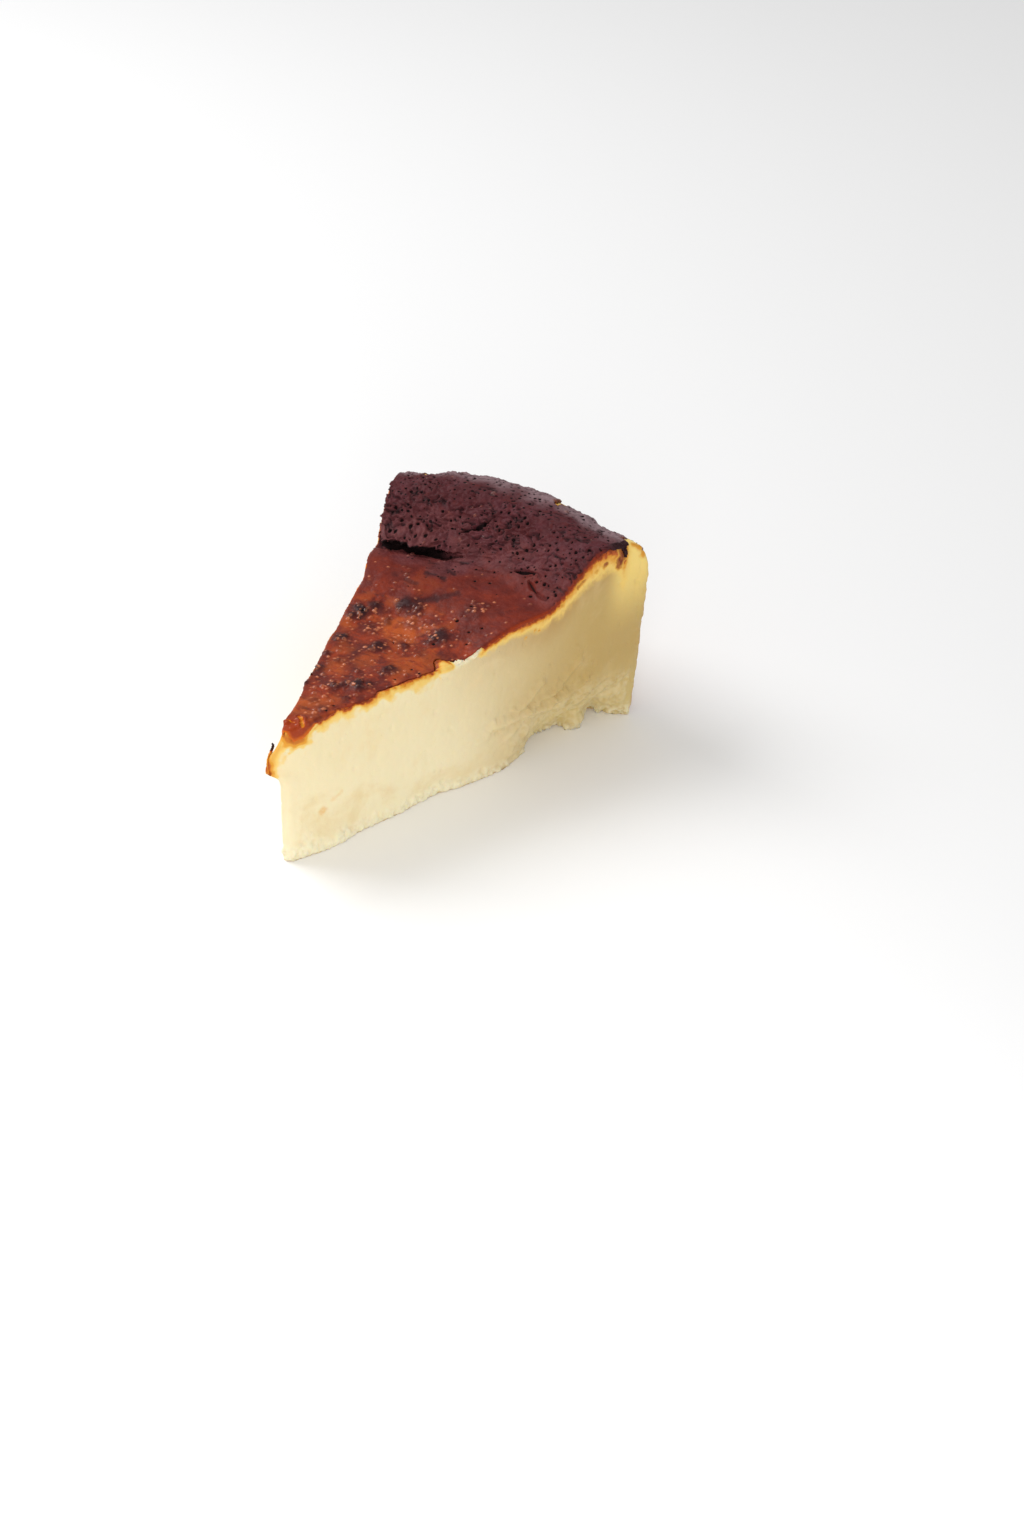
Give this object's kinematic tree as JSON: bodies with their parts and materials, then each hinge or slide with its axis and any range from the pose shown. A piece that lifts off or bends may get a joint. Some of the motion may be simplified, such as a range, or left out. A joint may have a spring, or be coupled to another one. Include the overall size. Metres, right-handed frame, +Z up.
{
  "type": "basque cheesecake slice",
  "caption": "Wedge of burnt-top basque cheesecake: sunken soft middle, raised dark rim, pale cut sides, flat base.",
  "frame": {"origin": "middle of the slice's box, on the surface that the flat base rests on", "axes": "+Y from the tip of the wedge to the outer wall, along the bisector of the two cuts; +Z up; +X towards the right cut, as seen from the tip"},
  "size_m": [0.0802, 0.1218, 0.0606],
  "materials": {
    "custard": "soft, moist satin",
    "crust": "burnt, satin sheen"
  },
  "bodies": {
    "root": {"cheesecake_slice": "custard"}
  },
  "joints": []
}
